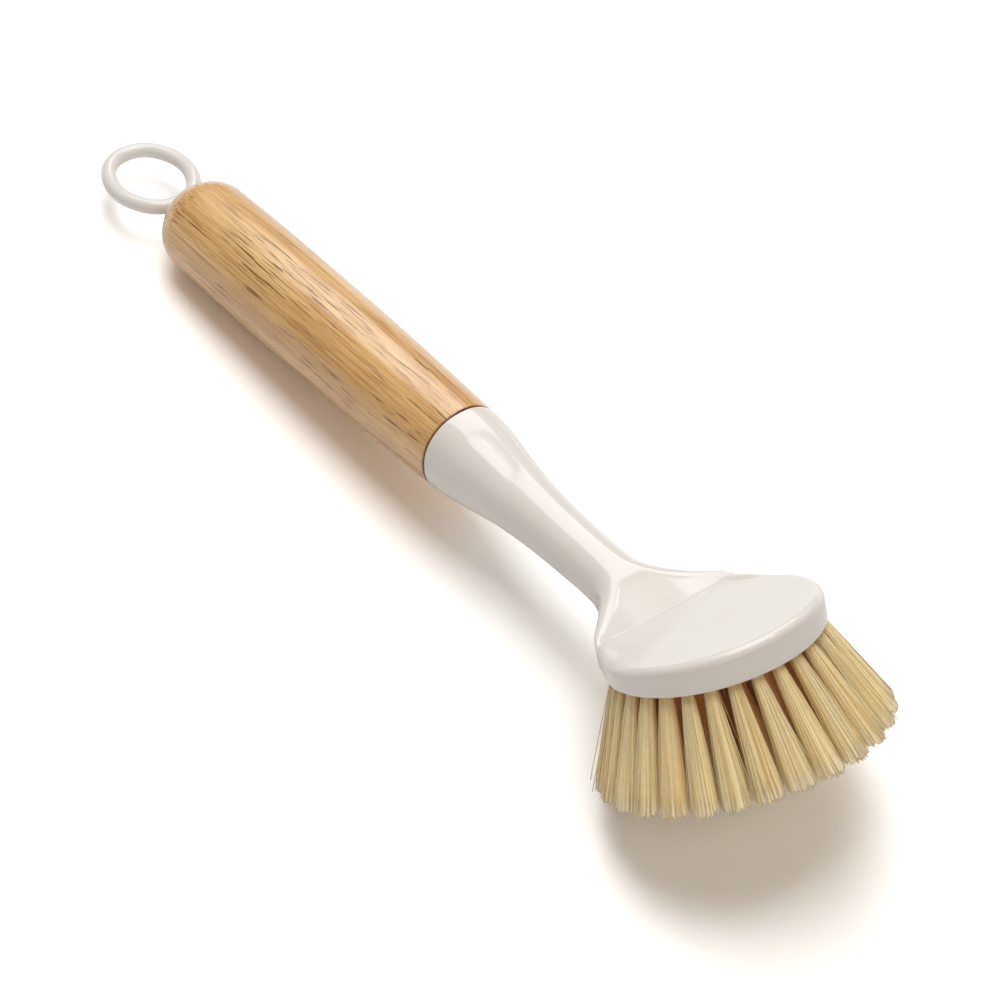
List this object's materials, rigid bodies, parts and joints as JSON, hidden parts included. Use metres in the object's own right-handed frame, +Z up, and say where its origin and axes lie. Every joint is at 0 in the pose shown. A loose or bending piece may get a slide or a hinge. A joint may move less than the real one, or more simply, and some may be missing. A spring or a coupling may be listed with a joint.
{
  "type": "dish brush",
  "caption": "Dish brush with a turned bamboo grip, a moulded neck and tilted round head with bristle tufts, and an oval hanging loop.",
  "frame": {"origin": "on the surface that the brush lies on, under the middle of its length, in its plane of symmetry", "axes": "+X along the brush from the hanging loop to the head, +Y across it, +Z up"},
  "size_m": [0.2912, 0.0732, 0.0635],
  "materials": {
    "bamboo": "turned, fine straight grain, satin",
    "loop_plastic": "moulded, glossy",
    "body_plastic": "moulded, semi-gloss",
    "bristle": "natural plant fibre, matt",
    "staple_metal": "plain"
  },
  "bodies": {
    "root": {"bamboo_grip": "bamboo", "hanging_loop": "loop_plastic", "brush_body": "body_plastic", "outer_tuft_01": "bristle", "outer_tuft_02": "bristle", "outer_tuft_03": "bristle", "outer_tuft_04": "bristle", "outer_tuft_05": "bristle", "outer_tuft_06": "bristle", "outer_tuft_07": "bristle", "outer_tuft_08": "bristle", "outer_tuft_09": "bristle", "outer_tuft_10": "bristle", "outer_tuft_11": "bristle", "outer_tuft_12": "bristle", "outer_tuft_13": "bristle", "outer_tuft_14": "bristle", "outer_tuft_15": "bristle", "outer_tuft_16": "bristle", "outer_tuft_17": "bristle", "outer_tuft_18": "bristle", "outer_tuft_19": "bristle", "outer_tuft_20": "bristle", "outer_tuft_21": "bristle", "outer_tuft_22": "bristle", "outer_tuft_23": "bristle", "outer_tuft_24": "bristle", "outer_tuft_25": "bristle", "outer_tuft_26": "bristle", "outer_tuft_27": "bristle", "second_tuft_01": "bristle", "second_tuft_02": "bristle", "second_tuft_03": "bristle", "second_tuft_04": "bristle", "second_tuft_05": "bristle", "second_tuft_06": "bristle", "second_tuft_07": "bristle", "second_tuft_08": "bristle", "second_tuft_09": "bristle", "second_tuft_10": "bristle", "second_tuft_11": "bristle", "second_tuft_12": "bristle", "second_tuft_13": "bristle", "second_tuft_14": "bristle", "second_tuft_15": "bristle", "third_tuft_01": "bristle", "third_tuft_02": "bristle", "third_tuft_03": "bristle", "third_tuft_04": "bristle", "third_tuft_05": "bristle", "third_tuft_06": "bristle", "third_tuft_07": "bristle", "third_tuft_08": "bristle", "third_tuft_09": "bristle", "third_tuft_10": "bristle", "centre_tuft_01": "bristle", "centre_tuft_02": "bristle", "centre_tuft_03": "bristle", "centre_tuft_04": "bristle", "staples": "staple_metal"}
  },
  "joints": []
}
